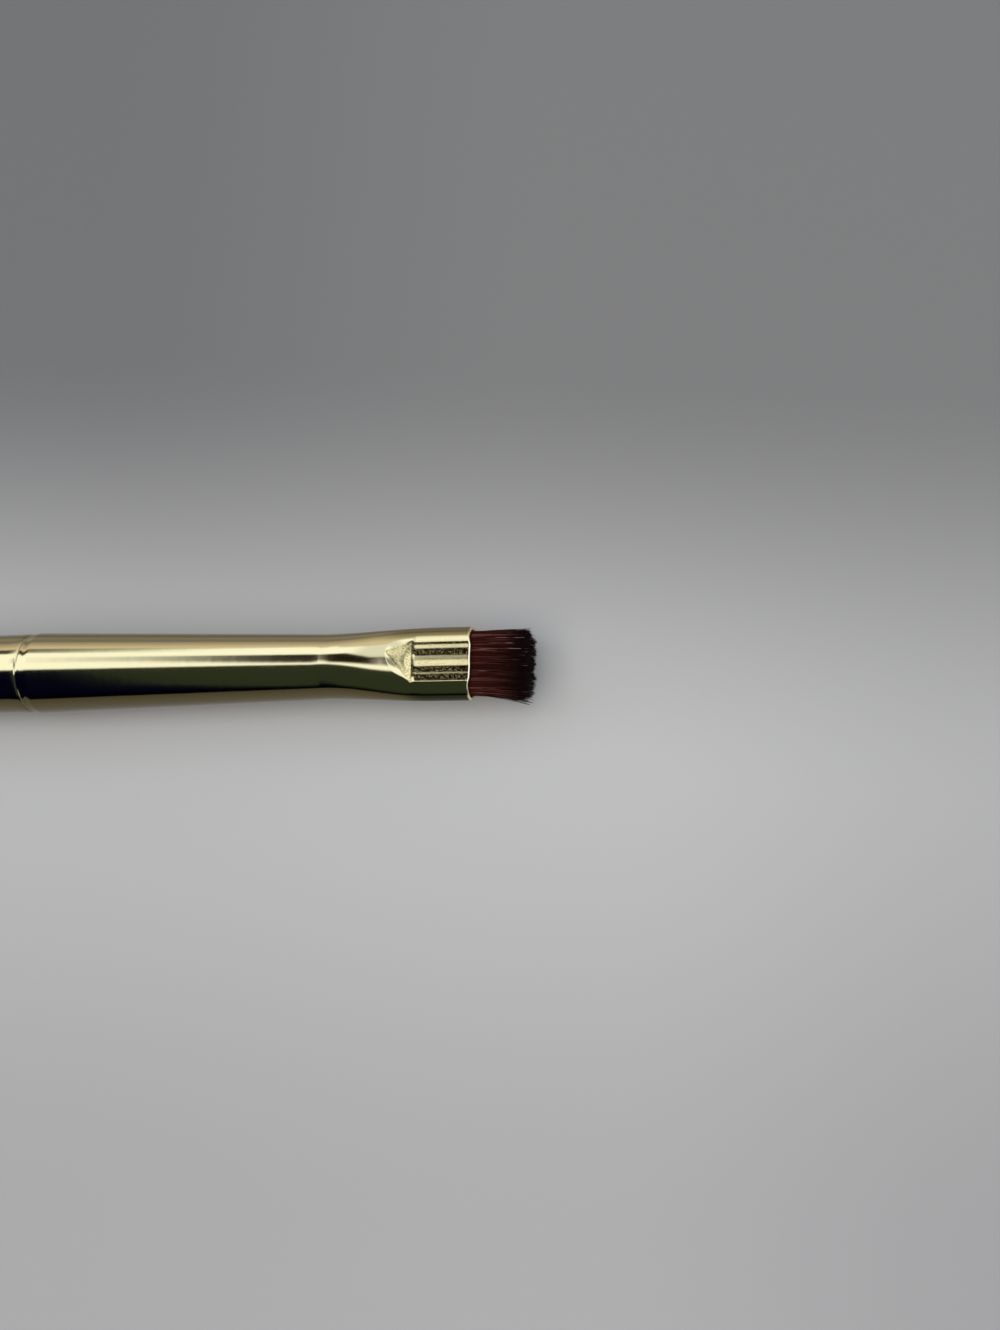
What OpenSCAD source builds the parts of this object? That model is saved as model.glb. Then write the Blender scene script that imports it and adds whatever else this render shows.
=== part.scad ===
// Flat eyeshadow brush: turned wooden handle, crimped and pressed metal ferrule, square-cut hair.
// The brush lies along X with its hair towards +X and the broad faces of the ferrule up and down.
// The origin is on the table, under the middle of the brush. All sizes are in millimetres.

/* [Handle] */
// Diameter of the straight barrel
barrel_d = 7.76; // [7.7:0.02:10]
// Length of the straight barrel
barrel_len = 58; // [45:1:80]
// Length of the tapered tail, from the barrel to the start of the butt
tail_len = 38; // [20:1:60]
// Diameter of the butt
butt_d = 4.8; // [3:0.1:7]
// Length of the rounded end of the butt
butt_len = 2; // [1:0.1:4]
// Length of the rounded shoulder between the ferrule and the barrel
shoulder_len = 2.2; // [1:0.1:5]
// Height by which the shoulder stands proud of the ferrule's end
shoulder_step = 0.04; // [0:0.01:0.15]
// Length of the tenon that the ferrule holds
tenon_len = 13; // [13:0.5:16]
// Length over which the tenon's nose tapers
tenon_taper_len = 2.8; // [1:0.1:3]
// Depth by which the tenon's nose tapers on each side
tenon_taper = 0.4; // [0.2:0.05:0.8]

/* [Ferrule tube] */
// Length of the ferrule, from the handle's shoulder to the mouth
ferrule_len = 54; // [46:1:62]
// Thickness of the metal
wall = 0.35; // [0.25:0.01:0.45]
// Outer diameter of the socket that takes the tenon
socket_d = 7.6; // [7.2:0.05:7.7]
// Length of the socket's straight stretch
socket_len = 9.7; // [9.65:0.05:11]
// Outer diameter of the swell just ahead of the socket
swell_d = 7.76; // [7.7:0.02:7.9]
// Length over which the socket rises to the swell
swell_len = 0.8; // [0.4:0.1:2]
// Outer diameter of the round neck, where the taper ends
neck_d = 6.04; // [5.8:0.02:6.4]
// Number of crimp rings
crimp_count = 2; // [1:1:2]
// Distance from the ferrule's rear end to the first crimp ring
crimp_first = 5.4; // [2.5:0.1:5.4]
// Distance from one crimp ring to the next
crimp_pitch = 4; // [1.5:0.1:4]
// Width of a crimp ring
crimp_w = 0.46; // [0.3:0.02:0.5]
// Depth of a crimp ring
crimp_depth = 0.14; // [0.05:0.01:0.2]

/* [Ferrule nose] */
// Length of the nose, from the round neck to the mouth
nose_len = 14; // [13:0.5:18]
// Width of the mouth
mouth_w = 6.8; // [6.4:0.1:7.4]
// Length of the straight stretch of full width behind the mouth
full_width_len = 3.6; // [2:0.1:5]
// Width of each pressed flat, from fold to fold
fold_w = 3.92; // [3.4:0.02:4.4]
// Thickness of the nose across its folds
fold_t = 3.3; // [3:0.05:3.7]
// Height by which each pressed flat is crowned
crown = 0.06; // [0:0.01:0.15]
// Length of the pressed flats behind the mouth
press_len = 5.4; // [4:0.1:6.5]
// Length of the sloping facet that leads down to each flat
ramp_len = 3.3; // [2:0.1:4.5]
// Depth of the grooves between the ribs of a flat
groove_depth = 0.12; // [0.03:0.01:0.15]
// Length over which the grooves start
groove_run = 0.3; // [0.1:0.05:1]

/* [Hair] */
// Length of the hair that shows ahead of the mouth
hair_len = 5.7; // [4:0.1:9]
// Width of the hair at its tips
tip_w = 6.6; // [5:0.1:7.4]
// Thickness of the hair at its tips
tip_t = 2.7; // [1.5:0.1:3.2]
// Depth by which the hair is shorter at its two outer corners
tip_round = 0.35; // [0:0.05:0.8]
// Depth over which the cut tips are uneven
tip_ragged = 0.4; // [0:0.05:0.7]
// Strands across the width
hair_columns = 40; // [36:1:42]
// Strands through the thickness
hair_rows = 10; // [9:1:10]
// Length of the glued slice that the strands rise from
slice_len = 0.7; // [0.3:0.05:1.5]
// Depth of that slice's face behind the mouth
slice_recess = 0.12; // [0.05:0.01:0.5]
// Length over which the glued hair narrows to its knot, behind the ferrule's neck
knot_taper_len = 1.2; // [0.6:0.1:3]
// Length of the tied knot
knot_len = 2.6; // [2.2:0.1:4]

/* [Thread and glue] */
// Diameter of the binding thread
thread_d = 0.3; // [0.2:0.02:0.34]
// Turns of the binding thread
thread_turns = 6; // [3:1:6]
// Gap between the thread and the ferrule's bore
thread_gap = 0.22; // [0.1:0.02:0.5]
// Length of the glue plug behind the knot
plug_len = 3; // [1:0.1:5]
// Depth of the hollow in the glue plug's rear face
plug_hollow = 0.7; // [0.2:0.1:0.9]
// Clearance between pieces that seat in each other
clearance = 0.03; // [0.01:0.005:0.05]

/* [Hidden] */

// Stations along the brush, measured from the ferrule's rear end towards the hair.
swell_s = socket_len + swell_len;
neck_s = ferrule_len - nose_len;
press_s = ferrule_len - press_len;
ramp_s = press_s - ramp_len;
full_width_s = ferrule_len - full_width_len;
slice_front_s = ferrule_len - slice_recess;
slice_back_s = slice_front_s - slice_len;
knot_front_s = neck_s - knot_taper_len;
knot_back_s = knot_front_s - knot_len;
plug_back_s = knot_back_s - plug_len;
barrel_front_s = -shoulder_len;
barrel_back_s = barrel_front_s - barrel_len;
tail_back_s = barrel_back_s - tail_len;
butt_s = tail_back_s - butt_len;
overall_len = ferrule_len + hair_len - butt_s;
// Height of the axis over the table, where the brush lies on its barrel and its ferrule's swell.
axis_height = max(barrel_d, swell_d) / 2;

// Half sizes of the pressed section. The sides are an ellipse that the folds cut off.
fold_share = fold_w / mouth_w;
side_half_t = fold_t / 2 / sqrt(1 - fold_share * fold_share);
fit_inset = wall + clearance;
tenon_r = socket_d / 2 - fit_inset;
knot_r = neck_d / 2 - wall - thread_gap - thread_d - clearance;

// Places of the grooves, as shares of a flat's half width. Between them stand three ribs.
groove_shares = [0.4, 0.88];
// Share of the tenon's taper that the glue ring fills.
glue_share = 0.7;

// Counts that set how finely the curved surfaces are drawn.
round_fn = 64;
crimp_steps = 4;
curve_steps = 10;
lip_steps = 1;
side_rib_steps = 4;
middle_rib_steps = 6;
side_steps = 9;
flare_rings = 6;
ramp_rings = 6;
press_rings = 4;
turn_steps = 4;
glue_steps = 4;
// The nose starts inside the tube's wall, by a lap that makes the two one piece.
lap_len = wall;
lap_inset = wall / 8;
// Width share of the hair's end columns, so that they keep some thickness.
hair_side_share = 0.975;
// Place of the strands' bend along the hair, and the reach of a strand in its cell there and at its tip.
bend_share = 0.55;
bend_reach_share = 0.4;
tip_reach_share = 0.27;
tip_wander_share = 0.17;
seed = 7;

function clamp01(t) = max(0, min(1, t));
function ease(t) = let (c = clamp01(t)) c * c * (3 - 2 * c);
function mix(a, b, t) = a + (b - a) * t;
function reversed(list) = [for (i = [len(list) - 1 : -1 : 0]) list[i]];

// Outer radius of the round tube: straight socket, eased swell, then a cone down to the neck.
function tube_r(s) = s < swell_s
    ? mix(socket_d, swell_d, ease((s - socket_len) / swell_len)) / 2
    : mix(swell_d, neck_d, clamp01((s - swell_s) / (neck_s - swell_s))) / 2;

// Half width of the nose's section, and its half thickness before pressing.
function half_w(s) = mix(neck_d, mouth_w, ease((s - neck_s) / (full_width_s - neck_s))) / 2;
function half_t(s) = mix(neck_d / 2, side_half_t, ease((s - neck_s) / (press_s - neck_s)));

// Height of the press die over the axis at a station. The place across the flat is v, which is
// 1 and -1 at the folds. Before the facet starts, the die is clear of the tube.
function die_h(s, v) = s < ramp_s ? swell_d :
    mix(half_t(ramp_s), fold_t / 2, clamp01((s - ramp_s) / ramp_len))
    + crown * max(0, 1 - v * v);

// Depth of the grooves: the ribs between them are rounded, and the outer lips rise to the folds.
function groove_cut(s, v) = let (
        inner = groove_shares[0],
        outer = groove_shares[1],
        place = abs(v),
        share = place > 1 ? 0
            : place > outer ? (1 - place) / (1 - outer)
            : place > inner ? pow(2 * (place - inner) / (outer - inner) - 1, 2)
            : pow(place / inner, 2))
    groove_depth * share * clamp01((s - press_s) / groove_run);

// Places of the outline's points across a flat, with one at each groove and each fold.
rib_edge_shares = [1, groove_shares[1], groove_shares[0], -groove_shares[0], -groove_shares[1], -1];
rib_steps = [lip_steps, side_rib_steps, middle_rib_steps, side_rib_steps, lip_steps];
flat_shares = [
    for (r = [0 : len(rib_steps) - 1]) for (i = [0 : rib_steps[r] - 1])
        mix(rib_edge_shares[r], rib_edge_shares[r + 1], i / rib_steps[r])
];

// Angles of the outline's points: along one flat and round one side, then the other two.
fold_angle = acos(fold_share);
outline_angles = [
    for (half = [0, 180]) each [
        for (v = flat_shares) half + acos(fold_share * v),
        for (i = [0 : side_steps - 1]) half + 180 - fold_angle + 2 * fold_angle * i / side_steps
    ]
];

// Outline of the nose at a station, set in by an inset, as points across the brush.
function outline(s, inset) = [
    for (a = outline_angles) let (
            v = cos(a) / fold_share,
            side = (half_t(s) - inset) * abs(sin(a)),
            die = die_h(s, v) - groove_cut(s, v) - inset)
        [(half_w(s) - inset) * cos(a), sign(sin(a)) * min(side, die), s]
];
function circle_outline(s, r) = [for (a = outline_angles) [r * cos(a), r * sin(a), s]];

// Stations of the rings along the nose, closer together where its shape changes.
nose_stations = [
    for (i = [0 : flare_rings - 1]) mix(neck_s, ramp_s, i / flare_rings),
    for (i = [0 : ramp_rings]) mix(ramp_s, press_s, i / ramp_rings),
    for (i = [0 : press_rings]) mix(press_s + groove_run, ferrule_len, i / press_rings)
];

// Two triangles between neighbouring points of two rings of n points.
function band(first, second, n) = [
    for (i = [0 : n - 1]) let (k = (i + 1) % n) each [
        [first + i, second + i, second + k],
        [first + i, second + k, first + k]
    ]
];

// A solid through rings of equal count, closed by a fan at each end. Its triangles lean as those
// inside a tube wall do, so that a core follows its bore.
module lofted(rings) {
    n = len(rings[0]);
    last = len(rings) - 1;
    start_centre = n * (last + 1);
    end_centre = start_centre + 1;
    points = concat([for (r = rings) each r], [
        [0, 0, rings[0][0][2]],
        [0, 0, rings[last][0][2]]
    ]);
    polyhedron(points, concat(
        [for (r = [0 : last - 1]) for (f = band((r + 1) * n, r * n, n)) reversed(f)],
        [for (i = [0 : n - 1]) [start_centre, i, (i + 1) % n]],
        [for (i = [0 : n - 1]) [end_centre, last * n + (i + 1) % n, last * n + i]]
    ));
}

// A tube wall through rings, where the last ring joins the first again.
module looped(rings) {
    n = len(rings[0]);
    count = len(rings);
    polyhedron([for (r = rings) each r], [
        for (r = [0 : count - 1]) each band(r * n, ((r + 1) % count) * n, n)
    ]);
}

// Lays a piece that was made along +Z down along +X, at its height over the table.
module lay() {
    translate([-butt_s - overall_len / 2, 0, axis_height]) rotate([90, 0, 90]) children();
}

// Half profiles of the crimp rings on a radius: grooves with round bottoms.
function crimps(r) = [
    for (ring = [0 : crimp_count - 1]) for (i = [0 : crimp_steps]) let (t = i / crimp_steps)
        [r - crimp_depth * sin(180 * t), crimp_first + ring * crimp_pitch + crimp_w * (t - 1 / 2)]
];

// Half profile of the tube from its rear end to the neck, set in by an inset.
function tube_side(inset) = concat(
    [[socket_d / 2 - inset, 0]],
    crimps(socket_d / 2 - inset),
    [for (i = [0 : curve_steps]) let (s = mix(socket_len, swell_s, i / curve_steps))
        [tube_r(s) - inset, s]],
    [[neck_d / 2 - inset, neck_s]]
);

// The tenon is creased by the same crimp rings as the socket round it.
module handle() {
    front_r = socket_d / 2 + shoulder_step;
    tenon = concat(
        [[0, tenon_len], [tenon_r - tenon_taper, tenon_len], [tenon_r, tenon_len - tenon_taper_len]],
        reversed(crimps(tenon_r)),
        [[tenon_r, 0]]
    );
    shoulder = [for (i = [0 : curve_steps]) let (t = i / curve_steps)
        [mix(front_r, barrel_d / 2, sin(90 * t)), barrel_front_s * t]];
    tail = [for (i = [0 : curve_steps]) let (t = i / curve_steps)
        [mix(barrel_d, butt_d, (1 - cos(180 * t)) / 2) / 2, mix(barrel_back_s, tail_back_s, t)]];
    butt = [for (i = [1 : curve_steps]) let (t = i / curve_steps)
        [butt_d / 2 * cos(90 * t), tail_back_s - butt_len * sin(90 * t)]];
    color([0.07, 0.06, 0.07])
        rotate_extrude($fn = round_fn)
            polygon(concat(tenon, shoulder, tail, butt));
}

// Ring of glue in the wedge between the tenon's tapered nose and the bore.
module tenon_glue() {
    ring = [for (i = [0 : glue_steps]) glue_share * i / glue_steps];
    inner = [for (t = ring)
        [tenon_r - tenon_taper * (1 - t) + clearance, tenon_len - tenon_taper_len * t]];
    outer = [for (p = inner) [tube_r(p[1]) - fit_inset, p[1]]];
    color([0.85, 0.8, 0.65])
        rotate_extrude($fn = round_fn)
            polygon(concat(inner, reversed(outer)));
}

// One side of the nose's wall, set in by an inset, with its lap in the tube.
function nose_side(inset, lap) = concat(
    [for (s = [neck_s - lap_len, neck_s]) outline(s, lap)],
    [for (s = nose_stations) if (s > neck_s) outline(s, inset)]
);

module ferrule() {
    outer = nose_side(0, lap_inset);
    inner = nose_side(wall, wall - lap_inset);
    color([0.85, 0.74, 0.42]) {
        rotate_extrude($fn = round_fn)
            polygon(concat(tube_side(0), reversed(tube_side(wall))));
        looped(concat(outer, reversed(inner)));
    }
}

// Half width and half thickness of the hair at the mouth and at its tips.
hair_half_w = (mouth_w / 2 - fit_inset) * hair_side_share;
function hair_half_t(p) = min(
    (side_half_t - fit_inset) * sqrt(1 - pow(p * hair_side_share, 2)),
    fold_t / 2 - fit_inset - groove_depth);
function tip_half_t(p) = tip_t / 2 * hair_half_t(p) / hair_half_t(0);

// Place in the hair at a station: p runs across the width and q through the thickness, each
// from -1 to 1. Every strand follows these two, so that none cross.
function hair_place(p, q, s) = let (t = (s - ferrule_len) / hair_len) [
    p * mix(hair_half_w, tip_w / 2, t),
    q * mix(hair_half_t(p), tip_half_t(p), t),
    s
];
function grid_p(i) = 2 * i / hair_columns - 1;
function grid_q(j) = 2 * j / hair_rows - 1;

// The glued slice and the strands that rise from its cells. Each strand has four sides, starts
// on the whole of its own cell, and narrows to its tip without leaving that cell.
module hair_tuft() {
    row_n = hair_columns + 1;
    strand_n = hair_columns * hair_rows;
    corners = [[-1, -1], [1, -1], [1, 1], [-1, 1]];
    corner_n = len(corners);
    bend_s = ferrule_len + hair_len * bend_share;
    wander = rands(-tip_wander_share, tip_wander_share, 2 * strand_n, seed);
    ragged = rands(0, tip_ragged, strand_n, seed + 1);
    grid = [
        for (j = [0 : hair_rows]) for (i = [0 : hair_columns])
            hair_place(grid_p(i), grid_q(j), slice_front_s)
    ];
    strands = [
        for (j = [0 : hair_rows - 1]) for (i = [0 : hair_columns - 1]) let (
                k = j * hair_columns + i,
                mid_i = i + 1 / 2,
                mid_j = j + 1 / 2,
                tip_i = mid_i + wander[2 * k],
                tip_j = mid_j + wander[2 * k + 1],
                tip_s = ferrule_len + hair_len - ragged[k] - tip_round * pow(grid_p(mid_i), 4))
            each [
                for (c = corners) hair_place(
                    grid_p(mid_i + c[0] * bend_reach_share),
                    grid_q(mid_j + c[1] * bend_reach_share), bend_s),
                for (c = corners) hair_place(
                    grid_p(tip_i + c[0] * tip_reach_share),
                    grid_q(tip_j + c[1] * tip_reach_share), tip_s)
            ]
    ];
    rim = concat(
        [for (i = [0 : hair_columns - 1]) i],
        [for (j = [0 : hair_rows - 1]) j * row_n + hair_columns],
        [for (i = [hair_columns : -1 : 1]) hair_rows * row_n + i],
        [for (j = [hair_rows : -1 : 1]) j * row_n]
    );
    rim_n = len(rim);
    rear = [for (g = rim) [grid[g][0], grid[g][1], slice_back_s]];
    first_rear = len(grid) + len(strands);
    rear_centre = first_rear + rim_n;
    strand_faces = [
        for (j = [0 : hair_rows - 1]) for (i = [0 : hair_columns - 1]) let (
                bend = len(grid) + 2 * corner_n * (j * hair_columns + i),
                tip = bend + corner_n,
                g = j * row_n + i,
                root = [g, g + 1, g + row_n + 1, g + row_n])
            each concat(
                [for (m = [0 : corner_n - 1]) let (n = (m + 1) % corner_n) each [
                    [root[m], bend + n, root[n]],
                    [root[m], bend + m, bend + n],
                    [bend + m, tip + n, bend + n],
                    [bend + m, tip + m, tip + n]
                ]],
                [[tip, tip + 2, tip + 1], [tip, tip + 3, tip + 2]]
            )
    ];
    slice_faces = [for (i = [0 : rim_n - 1]) let (n = (i + 1) % rim_n) each [
        [rim[i], rim[n], first_rear + n],
        [rim[i], first_rear + n, first_rear + i],
        [first_rear + i, first_rear + n, rear_centre]
    ]];
    color([0.26, 0.11, 0.08])
        polyhedron(concat(grid, strands, rear, [[0, 0, slice_back_s]]),
            concat(strand_faces, slice_faces));
}

// The glued hair inside the nose, from the slice back to the knot.
module hair_root() {
    stations = concat([for (s = nose_stations) if (s < slice_back_s) s], [slice_back_s]);
    color([0.2, 0.09, 0.07])
        lofted(concat(
            [for (s = [knot_back_s, knot_front_s]) circle_outline(s, knot_r)],
            [for (s = stations) outline(s, fit_inset)]
        ));
}

// The thread that ties the knot, as the ribbed band that its turns make side by side.
module binding_thread() {
    inner_r = knot_r + clearance;
    width = thread_turns * thread_d;
    turns = [
        for (turn = [0 : thread_turns - 1]) for (i = [0 : turn_steps - 1]) let (
                a = 180 * i / turn_steps)
            [inner_r + thread_d / 2 * (1 + sin(a)), thread_d * (turn + (1 - cos(a)) / 2)]
    ];
    color([0.9, 0.88, 0.8])
        translate([0, 0, (knot_back_s + knot_front_s - width) / 2])
            rotate_extrude($fn = round_fn)
                polygon(concat([[inner_r, 0]], turns,
                    [[inner_r + thread_d / 2, width], [inner_r, width]]));
}

// The puddle of set glue that closes the ferrule's bore behind the knot.
module root_glue() {
    hollow = [for (i = [0 : curve_steps]) let (t = i / curve_steps)
        [(tube_r(plug_back_s) - fit_inset) * t, plug_back_s + plug_hollow * (1 - t * t)]];
    color([0.8, 0.7, 0.45])
        rotate_extrude($fn = round_fn)
            polygon(concat(hollow, [[tube_r(knot_back_s) - fit_inset, knot_back_s], [0, knot_back_s]]));
}

lay() handle();
lay() tenon_glue();
lay() ferrule();
lay() hair_tuft();
lay() hair_root();
lay() binding_thread();
lay() root_glue();
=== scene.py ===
# Flat eyeshadow brush: the looks of every piece, on a pale floor under soft studio light.
# Shapes are worked out in millimetres in the brush's own frame: s runs along it from the
# ferrule's rear end towards the hair, u across the broad side, and t up, square to the flats.
import math

import bpy
import numpy as np
from mathutils import Matrix, Vector


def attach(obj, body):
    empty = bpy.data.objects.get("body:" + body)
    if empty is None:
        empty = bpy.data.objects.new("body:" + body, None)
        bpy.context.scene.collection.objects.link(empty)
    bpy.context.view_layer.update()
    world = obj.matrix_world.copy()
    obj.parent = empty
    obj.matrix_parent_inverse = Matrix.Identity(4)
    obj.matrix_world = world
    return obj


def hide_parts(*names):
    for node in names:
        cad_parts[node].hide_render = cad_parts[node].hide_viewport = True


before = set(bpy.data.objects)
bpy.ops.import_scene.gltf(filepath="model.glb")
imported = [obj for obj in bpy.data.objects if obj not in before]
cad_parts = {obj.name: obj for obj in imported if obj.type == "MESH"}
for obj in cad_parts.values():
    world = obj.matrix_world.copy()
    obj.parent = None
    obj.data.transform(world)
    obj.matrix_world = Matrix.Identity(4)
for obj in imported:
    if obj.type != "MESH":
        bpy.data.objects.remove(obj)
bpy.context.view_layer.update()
rng = np.random.default_rng(7)

# Where the brush's own frame lies in the shared frame, in millimetres.
rest = {"alongOffset": 20.25, "axisHeight": 3.88, "metre": 0.001}


# Points of the brush's own frame, moved to the shared frame and turned into metres.
def laid(s, u, t):
    s, u, t = np.broadcast_arrays(s, u, t)
    return np.stack([s + rest["alongOffset"], u, t + rest["axisHeight"]], -1) * rest["metre"]


# Held between 0 and 1.
def clamp01(x):
    return np.clip(x, 0.0, 1.0)


# Smooth step: 3x^2 - 2x^3 between 0 and 1.
def ease(x):
    x = clamp01(x)
    return x * x * (3 - 2 * x)


# Hump: 4x(1 - x), nothing at 0 and at 1, and 1 half way between them.
def hump(x):
    return 4 * x * (1 - x)


# Straight from a to b: a + (b - a)x.
def mix(a, b, x):
    return a + (b - a) * x


# Smaller of two values, with the corner between them rounded over a width k: their mix by
# h = 1/2 + (b - a) / 2k, less kh(1 - h).
def softMin(a, b, k):
    h = clamp01(0.5 + 0.5 * (b - a) / k)
    return mix(b, a, h) - k * h * (1 - h)


# Even angles round a full turn: 2 pi i / n.
def roundAngles(n):
    return np.arange(n) * 2 * math.pi / n


# An object from points and from groups of equal-sized faces, smooth all over.
def meshObject(name, points, groups, attributes=None):
    mesh = bpy.data.meshes.new(name)
    points = np.asarray(points, float).reshape(-1, 3)
    corners = np.concatenate([g.ravel() for g in groups])
    sizes = np.concatenate([np.full(len(g), g.shape[1]) for g in groups])
    starts = np.concatenate([[0], np.cumsum(sizes)[:-1]])
    mesh.vertices.add(len(points))
    mesh.vertices.foreach_set("co", points.ravel())
    mesh.loops.add(len(corners))
    mesh.loops.foreach_set("vertex_index", corners.astype(np.int32))
    mesh.polygons.add(len(sizes))
    mesh.polygons.foreach_set("loop_start", starts.astype(np.int32))
    mesh.polygons.foreach_set("use_smooth", np.ones(len(sizes), bool))
    for key, values in (attributes or {}).items():
        layer = mesh.attributes.new(key, "FLOAT", "POINT")
        layer.data.foreach_set("value", np.asarray(values, np.float32).ravel())
    mesh.update(calc_edges=True)
    thing = bpy.data.objects.new(name, mesh)
    bpy.context.scene.collection.objects.link(thing)
    return thing


# Quads between neighbouring points of a grid with so many rows and columns. The last row or
# column joins the first again where asked.
def gridFaces(rows, columns, joinRows, joinColumns):
    r = np.arange(rows if joinRows else rows - 1)[:, None]
    c = np.arange(columns if joinColumns else columns - 1)[None, :]
    r2, c2 = (r + 1) % rows, (c + 1) % columns
    quads = np.stack([r * columns + c, r * columns + c2, r2 * columns + c2, r2 * columns + c], -1)
    return quads.reshape(-1, 4)


# One output socket of a node tree. Arithmetic on it adds Math nodes.
class Value:
    def __init__(self, graph, socket):
        self.graph = graph
        self.socket = socket

    def maths(self, operation, *others):
        return self.graph.node("ShaderNodeMath", {"operation": operation}, [self, *others])

    def __add__(self, other):
        return self.maths("ADD", other)

    __radd__ = __add__

    def __mul__(self, other):
        return self.maths("MULTIPLY", other)

    __rmul__ = __mul__

    def __sub__(self, other):
        return self.maths("SUBTRACT", other)

    def __rsub__(self, other):
        return self * -1.0 + other

    def __abs__(self):
        return self.maths("ABSOLUTE")

    # Smooth step from 0 at low to 1 at high.
    def step(self, low, high):
        return self.graph.node("ShaderNodeMapRange", {"interpolation_type": "SMOOTHSTEP"},
                               {"Value": self, "From Min": low, "From Max": high})

    # Straight line from first at low to last at high, level outside.
    def ramp(self, low, high, first, last):
        return self.graph.node("ShaderNodeMapRange", {"clamp": True}, {
            "Value": self, "From Min": low, "From Max": high, "To Min": first, "To Max": last})


# A node tree and its ways to add nodes.
class Graph:
    def __init__(self, tree):
        self.tree = tree
        tree.nodes.clear()

    # One node of any type: its settings, then its inputs by place or name, and the output wanted.
    def node(self, kind, settings=None, inputs=(), output=0):
        made = self.tree.nodes.new(kind)
        for key, value in (settings or {}).items():
            setattr(made, key, value)
        pairs = inputs.items() if isinstance(inputs, dict) else enumerate(inputs)
        for key, value in pairs:
            if isinstance(value, Value):
                self.tree.links.new(value.socket, made.inputs[key])
            else:
                made.inputs[key].default_value = value
        return Value(self, made.outputs[output])

    # Mix node between two colours. Its colour inputs and output are numbers 6, 7 and 2.
    def colour(self, factor, a, b):
        a, b = ((*c, 1.0) if isinstance(c, tuple) else c for c in (a, b))
        return self.node("ShaderNodeMix", {"data_type": "RGBA"}, {0: factor, 6: a, 7: b}, 2)

    def point(self):
        return self.node("ShaderNodeTexCoord", output="Object")

    def stretched(self, point, sizes):
        return self.node("ShaderNodeVectorMath", {"operation": "MULTIPLY"}, [point, sizes])

    def axes(self, point):
        return [self.node("ShaderNodeSeparateXYZ", inputs=[point], output=k) for k in range(3)]

    def noise(self, point, scale, detail=2.0, rough=0.5):
        return self.node("ShaderNodeTexNoise", inputs={
            "Vector": point, "Scale": scale, "Detail": detail, "Roughness": rough})

    def attribute(self, name):
        return self.node("ShaderNodeAttribute", {"attribute_name": name}, output="Fac")

    def bump(self, height, distance):
        return self.node("ShaderNodeBump", inputs={
            "Height": height, "Distance": distance, "Strength": 1.0})

    def shader(self, **inputs):
        return self.node("ShaderNodeBsdfPrincipled", inputs={
            key.replace("_", " "): (*v, 1.0) if isinstance(v, tuple) else v
            for key, v in inputs.items()})

    def finish(self, shader, kind="ShaderNodeOutputMaterial"):
        made = self.tree.nodes.new(kind)
        self.tree.links.new(shader.socket, made.inputs["Surface"])


# A new material and its empty node tree.
def materialGraph(name):
    material = bpy.data.materials.new(name)
    material.use_nodes = True
    return material, Graph(material.node_tree)


# Puts a piece on the brush's one body with its material, and hides the imported nodes it
# replaces. The slot is not used.
def seat(thing, material, slot, *nodes):
    thing.data.materials.clear()
    thing.data.materials.append(material)
    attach(thing, "root")
    if nodes:
        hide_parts(*nodes)


# Ferrule. Lengths in millimetres; stations are measured from its rear end. Places across the
# flat run from -1 at its near fold to 1 at its far one, and cuts are depths at those places.
# Pairs that end in Len start so far before the mouth and then run so far. Waves are size, count
# round the lip and turn. Painted shades darken the sides' colour to dim their reflections. They
# start at a lean of the wall in degrees, run over so many and are so strong.
ferrule = {
    "length": 54.0, "wall": 0.35,
    "socketD": 7.6, "socketLen": 9.7, "swellD": 7.76, "swellLen": 0.8, "neckD": 6.04,
    "crimps": (5.4, 9.4), "crimpWidth": 0.36, "crimpDepth": 0.05,
    "noseLen": 14.0, "mouthW": 6.8, "fullWidthLen": 3.6, "thinSkew": 1.45,
    "foldW": 3.92, "foldT": 3.3, "crown": 0.07, "pressLen": 5.4, "facetLen": 2.35, "apex": 0.5,
    "places": (-1.0, -0.90, -0.618, -0.478, -0.234, 0.061, 0.131, 0.309, 0.59, 0.82, 0.89, 1.3),
    "cuts": (-0.008, -0.02, 0.0235, 0.0158, 0.0534, 0.016, 0.013, 0.0014, 0.0448, 0.0172,
             0.0292, 0.22),
    "grooveRun": 0.4, "grooveRound": 0.035, "grooveSamples": 5, "crestCut": 0.018,
    "foldRound": 0.05, "foldRise": 0.3, "facetRound": 0.20, "leastRound": 0.0001,
    "leastGap": 0.000001, "touchRound": 0.2, "facetFade": (1.1, 0.1), "rearRound": 0.08,
    "lipBow": 0.2, "bowLen": (3.0, 3.0), "bowEdge": 1.3, "bowEdgeRun": 0.6,
    "lipWave": 0.008, "waveLen": (1.2, 1.0),
    "waves": ((1.0, 5, 0.6), (0.7, 9, 2.0), (0.5, 17, 0.0)), "bareFrom": 0.55, "bareRun": 0.2,
    # Painted shade on the sides: the far, nose and near darkening of the gold's colour.
    "farShade": (46.0, 12.0, 0.9), "noseShade": (24.0, 8.0, 0.5), "nearShade": (40.0, 7.0),
    "noseShadeLen": (9.0, 3.0), "nearNoseShadeLen": (7.0, 2.5),
    "flatPoints": 80, "sidePoints": 44,
}

# The flat's share of the mouth's width, and the stations where the nose and the flat start.
foldShare = ferrule["foldW"] / ferrule["mouthW"]
neck = ferrule["length"] - ferrule["noseLen"]
press = ferrule["length"] - ferrule["pressLen"]

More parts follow.
